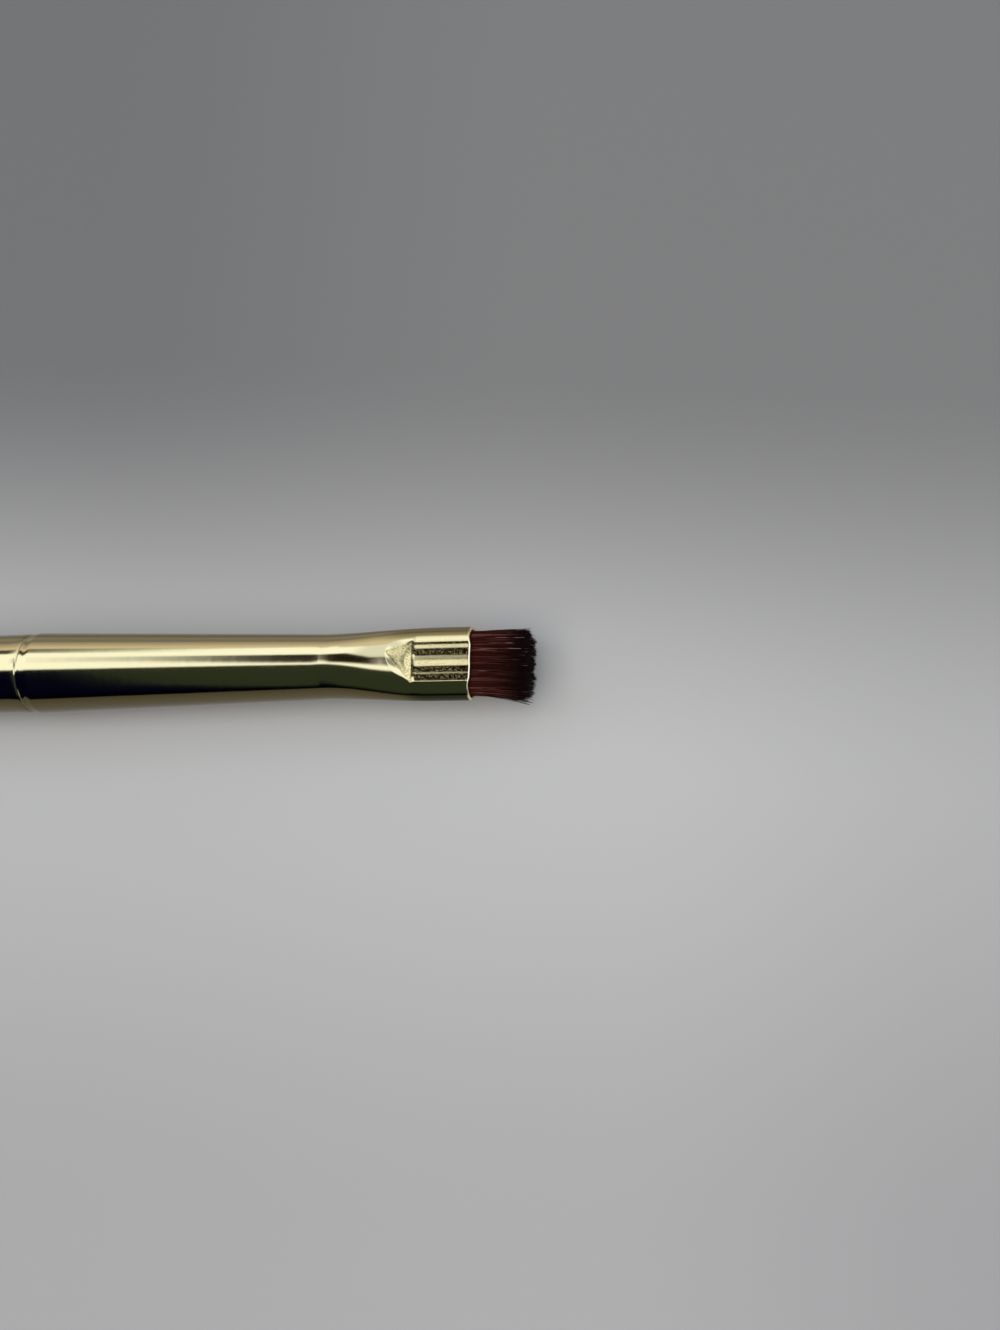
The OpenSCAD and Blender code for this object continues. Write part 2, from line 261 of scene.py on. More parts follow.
# Rows of the ferrule's mesh, each stretch as from, to and how many. They stand closest where the
# facet turns into the grooves, and at the crimps, the lip and the rear edge.
facetStart = press - ferrule["facetLen"]
grooveEnd = press + ferrule["grooveRun"]
lipStart = ferrule["length"] - ferrule["wall"] / 2
ferruleMesh = {
    "outer": ((ferrule["rearRound"], 4.8, 4), (6.5, 8.2, 2), (9.7, 10.7, 11),
              (12.0, neck - 0.6, 26), (neck, facetStart - 0.3, 44),
              (facetStart - 0.25, grooveEnd, 64), (press - 0.03, press + 0.03, 4),
              (grooveEnd + 0.09, lipStart, 58)),
    "inner": ((ferrule["rearRound"], 8.6, 30), (9.0, neck, 14), (neck + 0.5, lipStart, 60)),
    "crimp": 13, "lip": 13, "rear": 7,
}


# Half thickness of the ellipse that the mouth's sides follow: the fold's half thickness over the
# square root of 1 - share^2.
def sideHalf():
    return ferrule["foldT"] / 2 / math.sqrt(1 - foldShare * foldShare)


# Half width: eased from the neck's to the mouth's.
def halfWidth(s):
    f = ferrule
    full = f["length"] - f["fullWidthLen"]
    return mix(f["neckD"], f["mouthW"], ease((s - neck) / (full - neck))) / 2


# Half thickness of the nose before pressing: eased from the neck's to the sides' by a power of
# the way, so that it thins most just before the press.
def halfThick(s):
    f = ferrule
    way = clamp01((s - neck) / (press - neck)) ** f["thinSkew"]
    return mix(f["neckD"] / 2, sideHalf(), ease(way))


# How deep the crimp rings are at a station: depth (1 + cos(pi off)) / 2 each.
def crimpDent(s):
    f = ferrule
    dent = 0 * s
    for crimp in f["crimps"]:
        off = clamp01(np.abs(s - crimp) / (f["crimpWidth"] / 2))
        dent = dent + f["crimpDepth"] * (0.5 + 0.5 * np.cos(np.pi * off))
    return dent


# Radius of the round tube: straight socket, eased swell, cone to the neck, less the crimps.
def tubeRadius(s):
    f = ferrule
    swell = f["socketLen"] + f["swellLen"]
    socket = mix(f["socketD"], f["swellD"], ease((s - f["socketLen"]) / f["swellLen"])) / 2
    cone = mix(f["swellD"], f["neckD"], clamp01((s - swell) / (neck - swell))) / 2
    return np.where(s < swell, socket, cone) - crimpDent(s)


# Eases from 0 to 1 over a run that starts so far before the mouth.
def nearMouth(s, before, run):
    return ease((s - (ferrule["length"] - before)) / run)


# Depth of the grooves across a flat: straight lines between the crests and hollows listed
# above, averaged over a short width so that their corners are round. Their crests' level is
# reached along the facet, and the rest of the depth in a short run behind the press line.
def grooveCut(s, v):
    f = ferrule
    spread = np.linspace(-1, 1, f["grooveSamples"]) * f["grooveRound"]
    cut = sum(np.interp(v + d, f["places"], f["cuts"]) for d in spread) / len(spread)
    cut = np.where(v < -1, 0.0, cut)
    facet = clamp01((s - press) / f["facetLen"] + 1)
    return mix(f["crestCut"] * facet, cut, ease((s - press) / f["grooveRun"]))


# Where the press touches: how far along the facet a station is, and its two edges across. They
# run apart in straight lines from one point of the tube to the folds of the flat.
def facetEdges(s):
    f = ferrule
    along = (s - press) / f["facetLen"] + 1
    far, near = (mix(f["apex"], side, clamp01(along)) for side in (1.0, -1.0))
    return along, far, near


# Height of the press die over the axis: level over the flat, and over the facet straight lines
# from edge to edge with a slight hump between. Before the facet it is out of reach.
def dieHeight(s, v):
    f = ferrule
    along, far, near = facetEdges(s)
    across = (v - near) / np.maximum(far - near, f["leastGap"])
    low, high = (halfThick(s) * np.sqrt(1 - (foldShare * side) ** 2) for side in (near, far))
    crown = f["crown"] * hump(clamp01(along))
    height = mix(low, high, across) + crown * np.maximum(0, hump(across))
    outOfReach = 2 * f["mouthW"]
    return np.where(along > 0, height, outOfReach)


# How much painted shade darkens the sides' colour, by the lean of the wall from straight
# up: on the far side, from further in on the nose, and on the near side.
def sideShade(s, a, wide, thick):
    f = ferrule
    lean = np.degrees(np.arctan2(np.abs(np.cos(a)) * thick, np.abs(np.sin(a)) * wide))
    (start, run, most), (noseStart, noseRun, noseMost) = f["farShade"], f["noseShade"]
    nearStart, nearRun = f["nearShade"]
    nose = noseMost * nearMouth(s, *f["noseShadeLen"])
    far = ease((lean - start) / run) * (most - nose) + ease((lean - noseStart) / noseRun) * nose
    near = ease((lean - nearStart) / nearRun)
    return np.where(np.cos(a) > 0, far, 0.0), np.where(np.cos(a) < 0, near, 0.0)


# Angles round the tube's section: even steps across each flat, even angles round each side.
def sectionAngles():
    f = ferrule
    fold = math.acos(foldShare)
    v = mix(1.0, -1.0, np.arange(f["flatPoints"]) / f["flatPoints"])
    flat = np.arccos(foldShare * v)
    side = math.pi - fold + 2 * fold * np.arange(f["sidePoints"]) / f["sidePoints"]
    half = np.concatenate([flat, side])
    return np.concatenate([half, half + math.pi])


# Points of the ferrule's wall at stations, each set in by its inset: the round tube up to the
# neck, then an ellipse cut by the press die.
def wallPoints(s, inset, a):
    f = ferrule
    s, inset = s[:, None], inset[:, None]
    v = np.cos(a) / foldShare
    side = (halfThick(s) - inset) * np.abs(np.sin(a))
    die = dieHeight(s, v) - grooveCut(s, v) - inset
    along, farEdge, nearEdge = facetEdges(s)
    soft = f["foldRound"] * ease(along / f["foldRise"]) + f["facetRound"] * hump(clamp01(along))
    pressed = softMin(side, die, np.maximum(soft, f["leastRound"]))
    r = tubeRadius(s) - inset
    isTube = s < neck
    u = np.where(isTube, r, halfWidth(s) - inset) * np.cos(a)
    t = np.sign(np.sin(a)) * np.where(isTube, r * np.abs(np.sin(a)), pressed)
    wide, thick = np.where(isTube, r, halfWidth(s)), np.where(isTube, r, halfThick(s))
    inside = np.minimum(farEdge - v, v - nearEdge) * foldShare * wide
    touched = np.where(along > 0, ease(0.5 + inside / f["touchRound"]), 0.0)
    # Painted shade: the side and nose masks darken the wall's colour by its lean and near the
    # mouth.
    far, near = sideShade(s, a, wide, thick)
    fadeEnd, fadeRun = f["facetFade"]
    looks = {
        "pressed": touched, "facet": touched * ease((fadeEnd - along) / fadeRun),
        "farSideShade": far * (1 - touched), "nearSideShade": near * (1 - touched),
        "nose": nearMouth(s, *f["nearNoseShadeLen"]) + 0 * a,
    }
    return s + 0 * a, u, t, looks


# Rows of the ferrule's mesh: along the outside, round the lip, back along the bore and round the
# rear edge, with how far each row is set in from the outside.
def ferruleRows():
    f, rows = ferrule, ferruleMesh
    wall, rear = f["wall"], f["rearRound"]
    crimp = np.linspace(-0.5, 0.5, rows["crimp"]) * f["crimpWidth"]
    outer = [np.linspace(*stretch) for stretch in rows["outer"]] + [c + crimp for c in f["crimps"]]
    outer = np.unique(np.concatenate(outer).round(5))
    inner = np.concatenate([np.linspace(*stretch) for stretch in rows["inner"]])
    inner = np.unique(inner.round(5))[::-1]
    lip = np.linspace(0, math.pi, rows["lip"])[1:-1]
    back = np.linspace(0, math.pi, rows["rear"])[1:-1]
    s = np.concatenate([
        outer, lipStart + wall / 2 * np.sin(lip),
        inner, rear - rear * np.sin(back)])
    inset = np.concatenate([
        0 * outer, wall / 2 * (1 - np.cos(lip)),
        0 * inner + wall, wall / 2 * (1 + np.cos(back))])
    return s, inset


# The whole ferrule. Its lip bows forward over the flats and waves a little round its edge.
def buildFerrule():
    f = ferrule
    a = sectionAngles()
    s, inset = ferruleRows()
    along, u, t, looks = wallPoints(s, inset, a)
    bareStart = f["length"] - f["wall"] * f["bareFrom"]
    looks["bare"] = clamp01((along - bareStart) / (f["wall"] * f["bareRun"]))
    v = np.abs(np.cos(a)) * f["mouthW"] / f["foldW"]
    onFlat = ease((f["bowEdge"] - v) / f["bowEdgeRun"])
    bow = nearMouth(along, *f["bowLen"]) * onFlat * f["lipBow"]
    wave = sum(size * np.sin(count * a + turn) for size, count, turn in f["waves"])
    ends = nearMouth(along, *f["waveLen"])
    points = laid(along + bow - ends * f["lipWave"] * (1.0 + wave), u, t)
    return meshObject("ferruleShell", points, [gridFaces(len(s), len(a), True, True)], looks)


# Gold. Scales are per metre and heights in metres. Edges are where a noise turns from off to on.
gold = {
    "base": (0.83, 0.69, 0.37), "warm": (0.86, 0.70, 0.37), "bare": (0.95, 0.79, 0.50),
    # The far, near and near-nose colours are painted shade: darker colours the sides are mixed
    # into.
    "far": (0.15, 0.107, 0.019), "near": (0.155, 0.128, 0.058), "nearNoseShade": (0.045, 0.044, 0.022),
    "frosted": (0.81, 0.65, 0.31), "speckTone": (0.50, 0.39, 0.16),
    "roughTube": 0.10, "roughPressed": 0.07, "smudgeRough": 0.05,
    "grainScale": 9000.0, "grainHeight": 0.0000012, "tubeGrain": 0.04, "facetGrain": 4.5,
    "speckScale": 11700.0, "speckEdge": (0.60, 0.76), "speckHeight": 0.0000027, "speckShare": 0.5,
    "patchScale": 7200.0, "patchEdge": (0.42, 0.62), "patchShare": 0.6,
    "smudgeSizes": (1.0, 2.0, 2.0), "smudgeScale": 160.0, "smudgeEdge": (0.35, 0.7),
    "peelScale": 900.0, "peelHeight": 0.000003,
}


# Nearly a mirror on the tube. Where the press touched it, a fine grain with sharper specks makes
# it frosty. The sides of the tube carry painted shade, a darker colour that dims their
# reflections, and the cut lip is bare metal.
def goldMaterial():
    g = gold
    material, graph = materialGraph("brightGold")
    point = graph.point()
    pressed, facet = graph.attribute("pressed"), graph.attribute("facet")
    grain = graph.noise(point, g["grainScale"], 1.0)
    speck = graph.noise(point, g["speckScale"], 1.0).step(*g["speckEdge"])
    patch = graph.noise(point, g["patchScale"], 1.0).step(*g["patchEdge"])
    peel = graph.noise(point, g["peelScale"], 1.0)
    smudge = graph.noise(graph.stretched(point, g["smudgeSizes"]), g["smudgeScale"], 3.0, 0.6)
    rough = pressed * (g["roughPressed"] - g["roughTube"]) + g["roughTube"]
    rough = rough + (smudge - 0.5) * g["smudgeRough"]
    frost = grain * g["grainHeight"] + speck * g["speckHeight"]
    frost = frost * (pressed * (1 - g["tubeGrain"]) + g["tubeGrain"])
    frost = frost * (facet * g["facetGrain"] + 1.0)
    face = graph.colour(smudge.step(*g["smudgeEdge"]), g["base"], g["warm"])
    face = graph.colour(pressed, face, g["frosted"])
    dull = pressed * speck * g["speckShare"] + facet * patch * g["patchShare"]
    face = graph.colour(dull, face, g["speckTone"])
    # Painted shade: the far and near sides, and the nose, are mixed into darker colours.
    tint = graph.colour(graph.attribute("farSideShade"), face, g["far"])
    low = graph.colour(graph.attribute("nose"), g["near"], g["nearNoseShade"])
    tint = graph.colour(graph.attribute("nearSideShade"), tint, low)
    tint = graph.colour(graph.attribute("bare"), tint, g["bare"])
    shader = graph.shader(Base_Color=tint, Metallic=1.0, Roughness=rough,
                          Normal=graph.bump(frost + peel * g["peelHeight"], 1.0))
    graph.finish(shader)
    return material


seat(buildFerrule(), goldMaterial(), "gold_metal", "ferrule")
print("ferrule made")

# Handle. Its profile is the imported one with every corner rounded. Stations are the ferrule's, so
# the handle's own shoulder is at 0 and its barrel lies below it.
handle = {
    "barrelD": 7.76, "barrelLen": 58.0, "tailLen": 38.0, "buttD": 4.8, "buttLen": 2.0,
    "shoulderLen": 2.2, "shoulderStep": 0.04, "shoulderRound": 0.06,
    "tenonLen": 13.0, "tenonTaperLen": 2.8, "tenonTaper": 0.4,
    "tenonStations": (0.0, 2.5, 7.4, 10.1), "clearance": 0.03, "noseRound": 0.25, "around": 96,
    "noseRows": 7, "taperRows": 9, "creaseRows": 9, "lipRows": 6, "shoulderRows": 24,
    "barrelRows": 24, "tailRows": 56, "buttRows": 20,
}


# Half profile of the handle, stations and radii, from the tenon's nose to the butt: rounded
# nose, taper, straight tenon creased by the crimps, rounded shoulder, barrel, tail that narrows
# by half a cosine wave, and an elliptical butt.
def handleProfile():
    h, f = handle, ferrule
    tenonR = f["socketD"] / 2 - f["wall"] - h["clearance"]
    tipR, nose = tenonR - h["tenonTaper"], h["noseRound"]
    stepR, edge = f["socketD"] / 2 + h["shoulderStep"], h["shoulderRound"]
    barrelR, back = h["barrelD"] / 2, -h["shoulderLen"] - h["barrelLen"]
    quarter = math.pi / 2
    bend = np.linspace(0, quarter, h["noseRows"])
    taper = np.linspace(0, 1, h["taperRows"])[1:]
    crease = np.linspace(-0.5, 0.5, h["creaseRows"]) * f["crimpWidth"]
    straight = np.concatenate([h["tenonStations"], *[c + crease for c in f["crimps"]]])
    straight = np.unique(straight)[::-1]
    lip = np.linspace(0, quarter, h["lipRows"])
    swell = np.linspace(0, 1, h["shoulderRows"])[1:]
    barrel = np.linspace(-h["shoulderLen"], back, h["barrelRows"])[1:]
    tail = np.linspace(0, 1, h["tailRows"])[1:]
    tailR = mix(h["barrelD"], h["buttD"], (1 - np.cos(math.pi * tail)) / 2) / 2
    butt = np.linspace(0, quarter, h["buttRows"])[1:-1]
    parts = [
        (h["tenonLen"] - nose * (1 - np.cos(bend)), tipR - nose * (1 - np.sin(bend))),
        (h["tenonLen"] - nose - (h["tenonTaperLen"] - nose) * taper, mix(tipR, tenonR, taper)),
        (straight, tenonR - crimpDent(straight)),
        (-edge * (1 - np.cos(lip)), stepR - edge * (1 - np.sin(lip))),
        (-edge - (h["shoulderLen"] - edge) * swell, mix(stepR, barrelR, np.sin(swell * quarter))),
        (barrel, barrelR + 0 * barrel),
        (back - h["tailLen"] * tail, tailR),
        (back - h["tailLen"] - h["buttLen"] * np.sin(butt), h["buttD"] / 2 * np.cos(butt)),
    ]
    return [np.concatenate(column) for column in zip(*parts)]


# A closed turned shape: its profile goes round the axis and a fan closes each end.
def lathe(name, s, r, around):
    a = roundAngles(around)
    grid = laid(s[:, None], r[:, None] * np.cos(a), r[:, None] * np.sin(a))
    ends = laid(np.array([s[0], s[-1]]), np.zeros(2), np.zeros(2))
    points = np.concatenate([grid.reshape(-1, 3), ends])
    quads = gridFaces(len(s), around, False, True)[:, ::-1]
    k = np.arange(around)
    last = (len(s) - 1) * around
    middle = np.full(around, len(s) * around)
    front = np.stack([k, (k + 1) % around, middle], -1)
    rear = np.stack([last + (k + 1) % around, last + k, middle + 1], -1)
    return meshObject(name, points, [quads, front, rear])


# Lacquer and the wood under it, which is bare in front of the shoulder.
lacquer = {
    "black": (0.012, 0.010, 0.012), "worn": (0.022, 0.018, 0.018),
    "wood": (0.46, 0.29, 0.15), "woodDark": (0.30, 0.17, 0.08), "bareFrom": (0.02015, 0.02021),
    "rough": 0.22, "woodRough": 0.45, "dustRough": 0.12, "coatRough": 0.035,
    "grainSizes": (60.0, 1100.0, 1100.0), "woodEdge": (0.35, 0.7), "wornEdge": (0.45, 0.8),
    "poreSizes": (300.0, 4500.0, 4500.0), "poreEdge": (0.25, 0.45), "poreHeight": 0.000002,
    "poreBare": 3.0, "poreCoated": 0.6, "peelScale": 700.0, "peelHeight": 0.0000025,
    "dustScale": 5200.0, "dustEdge": (0.62, 0.8),
}


# Black lacquer over turned wood: pores show faintly through the coat, and the tenon is bare.
def lacquerMaterial():
    c = lacquer
    material, graph = materialGraph("blackLacquer")
    point = graph.point()
    grain = graph.noise(graph.stretched(point, c["grainSizes"]), 1.0, 4.0, 0.6)
    pores = graph.noise(graph.stretched(point, c["poreSizes"]), 1.0, 2.0).step(*c["poreEdge"])
    peel = graph.noise(point, c["peelScale"], 1.0)
    dust = graph.noise(point, c["dustScale"], 1.0).step(*c["dustEdge"])
    bare = graph.axes(point)[0].step(*c["bareFrom"])
    wood = graph.colour(grain.step(*c["woodEdge"]), c["wood"], c["woodDark"])
    black = graph.colour(grain.step(*c["wornEdge"]), c["black"], c["worn"])
    rough = c["rough"] + bare * c["woodRough"] + dust * c["dustRough"]
    depth = bare * c["poreBare"] + c["poreCoated"]
    height = peel * c["peelHeight"] + pores * c["poreHeight"] * depth
    shader = graph.shader(Base_Color=graph.colour(bare, black, wood), Roughness=rough,
                          Coat_Weight=1.0 - bare, Coat_Roughness=c["coatRough"],
                          Normal=graph.bump(height, 1.0))
    graph.finish(shader)
    return material


seat(lathe("lacqueredHandle", *handleProfile(), handle["around"]), lacquerMaterial(),
     "lacquered_wood", "handle")
print("handle made")

# Hair. Strands fill the mouth and thin out to a ragged, slightly rounded end. Places across and
# through the bundle run from -1 to 1, and the strands stand in columns and rows over it.
hair = {
    "columns": 90, "rows": 40, "jitter": (0.1, 0.9), "across": 0.992, "through": 0.985,
    "sides": 4, "rings": 5, "length": 5.7, "root": 53.0, "reach": 0.12,
    "gap": 0.03, "sideShare": 0.975, "tipW": 6.0, "tipT": 2.7, "widen": 1.3,
    "tipRound": 0.45, "roundPower": 4, "ragged": 0.5, "raggedSpread": (1.2, 2.6),
    "thick": (0.060, 0.090), "tipThick": 0.3, "thinPower": 3, "tones": (0, 1),
    "clumps": 190, "clumpArea": (1.0, 0.95), "clumpNarrow": 6, "clumpRagged": 0.5,
    "clumpPull": 0.6, "pullSpread": (0.3, 1), "pullThrough": 0.6, "wander": 0.14,
    "wanderThrough": 0.7, "bend": 1.5, "wave": 0.07, "waveTurns": (4, 5), "lean": 0.22,
    "droop": 0.1, "droopEdge": 0.35,
}


# Half width and half thickness of the hair in the mouth, inside the ferrule's wall.
def mouthHalf(p):
    f, h = ferrule, hair
    inset = f["wall"] + h["gap"]
    w = (f["mouthW"] / 2 - inset) * h["sideShare"]
    underSide = (sideHalf() - inset) * np.sqrt(1 - (p * h["sideShare"]) ** 2)
    underFlat = f["foldT"] / 2 - inset - max(f["cuts"][:-1])
    return w, np.minimum(underSide, underFlat)


# Share of the loose length that a station has passed: 0 in the mouth, 1 at the tips.
def shareOut(s):
    return clamp01((s - ferrule["length"]) / hair["length"])


# Middle line of each strand at its rings. Its place across (p) and through (q) widens or
# narrows towards the tip, and it leans to its clump, wanders and waves a little on the way.
def strandPaths(p, q, end, lean, rings):
    h = hair
    s = mix(h["root"], end[:, None], np.linspace(0, 1, rings)[None, :])
    out = shareOut(s)
    w, t = mouthHalf(p)
    middleT = mouthHalf(np.float64(0))[1]
    tipT = h["tipT"] / 2 * t / middleT
    u = p[:, None] * mix(w, h["tipW"] / 2, out ** h["widen"]) - h["lean"] * out ** 2
    z = q[:, None] * mix(t[:, None], tipT[:, None], out)
    phase = rng.uniform(0, 2 * math.pi, (2, len(p), 1))
    waveU, waveZ = (h["wave"] * out * np.sin(out * turns + start)
                    for turns, start in zip(h["waveTurns"], phase))
    u = u + out ** h["bend"] * lean[0][:, None] + waveU
    z = z + out ** h["bend"] * lean[1][:, None] + waveZ
    u = u - h["droop"] * out ** 2 * clamp01(h["droopEdge"] - p)[:, None]
    return s, u, z


# A tapered tube of a few sides round each path, closed at both ends, each of its own tone.
def strandMesh(name, path, radius, tones):
    s, u, z = path
    n, rings = s.shape
    sides = hair["sides"]
    tone = rng.uniform(*tones, n)[:, None, None]
    turn = rng.uniform(0, 2 * math.pi, (n, 1, 1)) + roundAngles(sides)
    ru = u[..., None] + radius[..., None] * np.cos(turn)
    rz = z[..., None] + radius[..., None] * np.sin(turn)
    points = laid(s[..., None] + 0 * ru, ru, rz)
    first = np.arange(n)[:, None, None] * rings * sides
    tubes = (gridFaces(rings, sides, False, True)[None] + first).reshape(-1, 4)
    ring = np.arange(sides)
    rootCap = (ring[::-1] + first).reshape(-1, sides)
    tipCap = ((rings - 1) * sides + ring + first).reshape(-1, sides)
    looks = {"tone": np.broadcast_to(tone, ru.shape),
             "out": np.broadcast_to(shareOut(s)[..., None], ru.shape)}
    return meshObject(name, points, [tubes, tipCap, rootCap], looks)


# Even but unordered places in the mouth: a jittered grid. Each strand is pulled to its nearest
# clump, and its end is set back by its own ragged share and by its clump's.
def buildHair():
    h = hair
    columns, rows, n = h["columns"], h["rows"], h["columns"] * h["rows"]
    i, j = np.meshgrid(np.arange(columns), np.arange(rows), indexing="ij")
    p = ((i + rng.uniform(*h["jitter"], i.shape)) / columns * 2 - 1).ravel() * h["across"]
    q = ((j + rng.uniform(*h["jitter"], j.shape)) / rows * 2 - 1).ravel() * h["through"]
    clump = rng.uniform(-1, 1, (h["clumps"], 2)) * h["clumpArea"]
    away = (p[:, None] - clump[:, 0]) ** 2 * h["clumpNarrow"] + (q[:, None] - clump[:, 1]) ** 2
    nearest = np.argmin(away, 1)
    near = clump[nearest]
    w, t = mouthHalf(np.float64(0))
    pull = h["clumpPull"] * rng.uniform(*h["pullSpread"], n)
    leanU = (near[:, 0] - p) * w * pull + rng.normal(0, h["wander"], n)
    wanderZ = rng.normal(0, h["wander"] * h["wanderThrough"], n)
    leanZ = (near[:, 1] - q) * t * pull * h["pullThrough"] + wanderZ
    end = ferrule["length"] + h["length"] + h["reach"]
    end = end - h["tipRound"] * np.abs(p) ** h["roundPower"]
    end = end - h["ragged"] * rng.beta(*h["raggedSpread"], n)
    end = end - h["clumpRagged"] * rng.uniform(0, 1, h["clumps"])[nearest] ** 2
    path = strandPaths(p, q, end, [leanU, leanZ], h["rings"])
    thick = rng.uniform(*h["thick"], n)[:, None] / 2
    along = np.linspace(0, 1, h["rings"])
    radius = thick * mix(1, h["tipThick"], along ** h["thinPower"])
    return strandMesh("looseHair", path, radius, h["tones"])


# Stray hairs. Reach is how far a tip stands out, and ends are shares of the loose length.
strays = {
    "count": 70, "rings": 7, "cornerShare": 0.55, "through": (-0.9, 0.9), "drift": 0.1,
    "cornerPlaces": (-1, -0.8), "cornerReach": (0.2, 0.85), "cornerEnds": (0.8, 0.99),
    "sidePlaces": (0.75, 1), "sideReach": (0.0, 0.45), "sideEnds": (0.45, 0.99),
    "radius": 0.04, "tipThick": 0.4, "tones": (0.3, 1),
}


# A few hairs that stand out from the bundle, most of them fanning out at one corner.
def buildStrays():
    h = strays
    n = h["count"]
    corner = rng.uniform(0, 1, n) < h["cornerShare"]
    cornerP = rng.uniform(*h["cornerPlaces"], n)
    p = np.where(corner, cornerP, rng.choice([-1, 1], n) * rng.uniform(*h["sidePlaces"], n))
    q = rng.uniform(*h["through"], n)
    cornerOut = -rng.uniform(*h["cornerReach"], n)
    out = np.where(corner, cornerOut, np.sign(p) * rng.uniform(*h["sideReach"], n))
    cornerEnd = rng.uniform(*h["cornerEnds"], n)
    share = np.where(corner, cornerEnd, rng.uniform(*h["sideEnds"], n))
    end = ferrule["length"] + hair["length"] * share
    path = strandPaths(p, q, end, [out, rng.normal(0, h["drift"], n)], h["rings"])
    taper = mix(1, h["tipThick"], np.linspace(0, 1, h["rings"]) ** 2)
    return strandMesh("strayHairs", path, np.full((n, 1), h["radius"]) * taper, h["tones"])


# Mahogany hair. Runs are shares of the loose length, and edges turn a tone or a noise on.
mahogany = {
    "root": (0.026, 0.0045, 0.0030), "middle": (0.018, 0.0040, 0.0032),
    "tip": (0.005, 0.0020, 0.0018), "middleRun": (0.0, 0.5), "tipRun": (0.45, 0.9),
    "light": (0.105, 0.028, 0.017), "patchSizes": (200.0, 1400.0, 1400.0),
    "toneShare": 0.8, "patchShare": 0.5, "lightEdge": (0.72, 1.15),
    "fadeRun": (0.35, 0.85), "fadeShare": 0.9,
    # The glint colour and its settings make a painted highlight on a few strands.
    "paintedGlint": (0.34, 0.20, 0.17), "glintSizes": (420.0, 1400.0, 1400.0), "glintEdge": (0.50, 0.60),
    "glintTones": (0.955, 0.965), "glintRun": (0.05, 0.2), "glintShare": 0.8,
    "rough": 0.36, "patchRough": 0.15, "specular": 0.03, "gloss": 0.7, "coatRough": 0.22,
}


# Redder where it leaves the ferrule, near black at the cut tips, and each strand has its own
# tone. A few strands carry a painted highlight, pale for a part of their length.
def hairMaterial():
    c = mahogany
    material, graph = materialGraph("mahoganyHair")
    point = graph.point()
    tone, out = graph.attribute("tone"), graph.attribute("out")
    patch = graph.noise(graph.stretched(point, c["patchSizes"]), 1.0, 2.0)
    base = graph.colour(out.step(*c["middleRun"]), c["root"], c["middle"])
    base = graph.colour(out.step(*c["tipRun"]), base, c["tip"])
    light = (tone * c["toneShare"] + patch * c["patchShare"]).step(*c["lightEdge"])
    light = light * (1.0 - out.step(*c["fadeRun"]) * c["fadeShare"])
    part = graph.noise(graph.stretched(point, c["glintSizes"]), 1.0, 1.0).step(*c["glintEdge"])
    # Painted highlight: a pale streak along part of a few strands.
    paintedGlint = tone.step(*c["glintTones"]) * part * out.step(*c["glintRun"]) * c["glintShare"]
    tint = graph.colour(paintedGlint, graph.colour(light, base, c["light"]), c["paintedGlint"])
    shader = graph.shader(Base_Color=tint, Roughness=c["rough"] + patch * c["patchRough"],
                          Specular_IOR_Level=c["specular"], Coat_Weight=light * c["gloss"],
                          Coat_Roughness=c["coatRough"])
    graph.finish(shader)
    return material


hairSkin = hairMaterial()
seat(buildHair(), hairSkin, "hair", "hair_tuft")
seat(buildStrays(), hairSkin, "hair")
print("hair made")

# Binding thread: one strand wound tightly round the knot. Fit is its section's share of its full
# thickness.
thread = {
    "thick": 0.3, "turns": 6, "middle": 37.5, "inner": 2.15, "fit": 0.97,
    "around": 64, "sides": 12,
    "shadow": (0.52, 0.47, 0.36), "pale": (0.80, 0.76, 0.66), "rough": 0.85, "sheen": 0.3,
    "plies": 9.0, "plyTwist": 3.0, "plyShare": 0.6, "plyHeight": 0.00002,
    "fuzzScale": 9000.0, "fuzzShare": 0.4, "fuzzHeight": 0.00001,
}


# A round section carried along a helix. The helix is one thread shorter than the band, so each
# turn climbs a little less than a thread and presses into the next.
def buildThread():
    w = thread
    steps, half = w["turns"] * w["around"], w["thick"] / 2
    a = np.arange(steps + 1) / w["around"] * 2 * math.pi
    length = (w["turns"] - 1) * w["thick"]
    centreS = w["middle"] - length / 2 + length * np.arange(steps + 1) / steps
    b = roundAngles(w["sides"])
    ringR = w["inner"] + half * (1 + w["fit"] * np.cos(b)[None, :])
    s = centreS[:, None] + half * w["fit"] * np.sin(b)[None, :]
    points = laid(s, ringR * np.cos(a)[:, None], ringR * np.sin(a)[:, None])
    sides = gridFaces(steps + 1, w["sides"], False, True)[:, ::-1]
    k = np.arange(w["sides"])
    caps = np.stack([k, steps * w["sides"] + k[::-1]])
    looks = {"along": np.broadcast_to(a[:, None] * w["inner"], s.shape),
             "round": np.broadcast_to(b[None, :], s.shape)}
    return meshObject("woundThread", points, [sides, caps], looks)


# Cotton thread: its plies twist round it as slanting stripes.
def threadMaterial():
    w = thread
    material, graph = materialGraph("cottonThread")
    phase = graph.attribute("along") * w["plies"] + graph.attribute("round") * w["plyTwist"]
    ply = phase.maths("SINE") * 0.5 + 0.5
    fuzz = graph.noise(graph.point(), w["fuzzScale"], 3.0)
    base = graph.colour(ply * w["plyShare"] + fuzz * w["fuzzShare"], w["shadow"], w["pale"])
    height = ply * w["plyHeight"] + fuzz * w["fuzzHeight"]
    shader = graph.shader(Base_Color=base, Roughness=w["rough"], Sheen_Weight=w["sheen"],
                          Normal=graph.bump(height, 1.0))
    graph.finish(shader)
    return material


seat(buildThread(), threadMaterial(), "thread", "binding_thread")

# Hair's root, soaked in glue.
gluedHair = {
    "dark": (0.020, 0.007, 0.005), "pale": (0.11, 0.045, 0.02), "edge": (0.3, 0.7),
    "streakSizes": (160.0, 9000.0, 9000.0), "rough": 0.2, "streakRough": 0.5, "height": 0.00002,
}


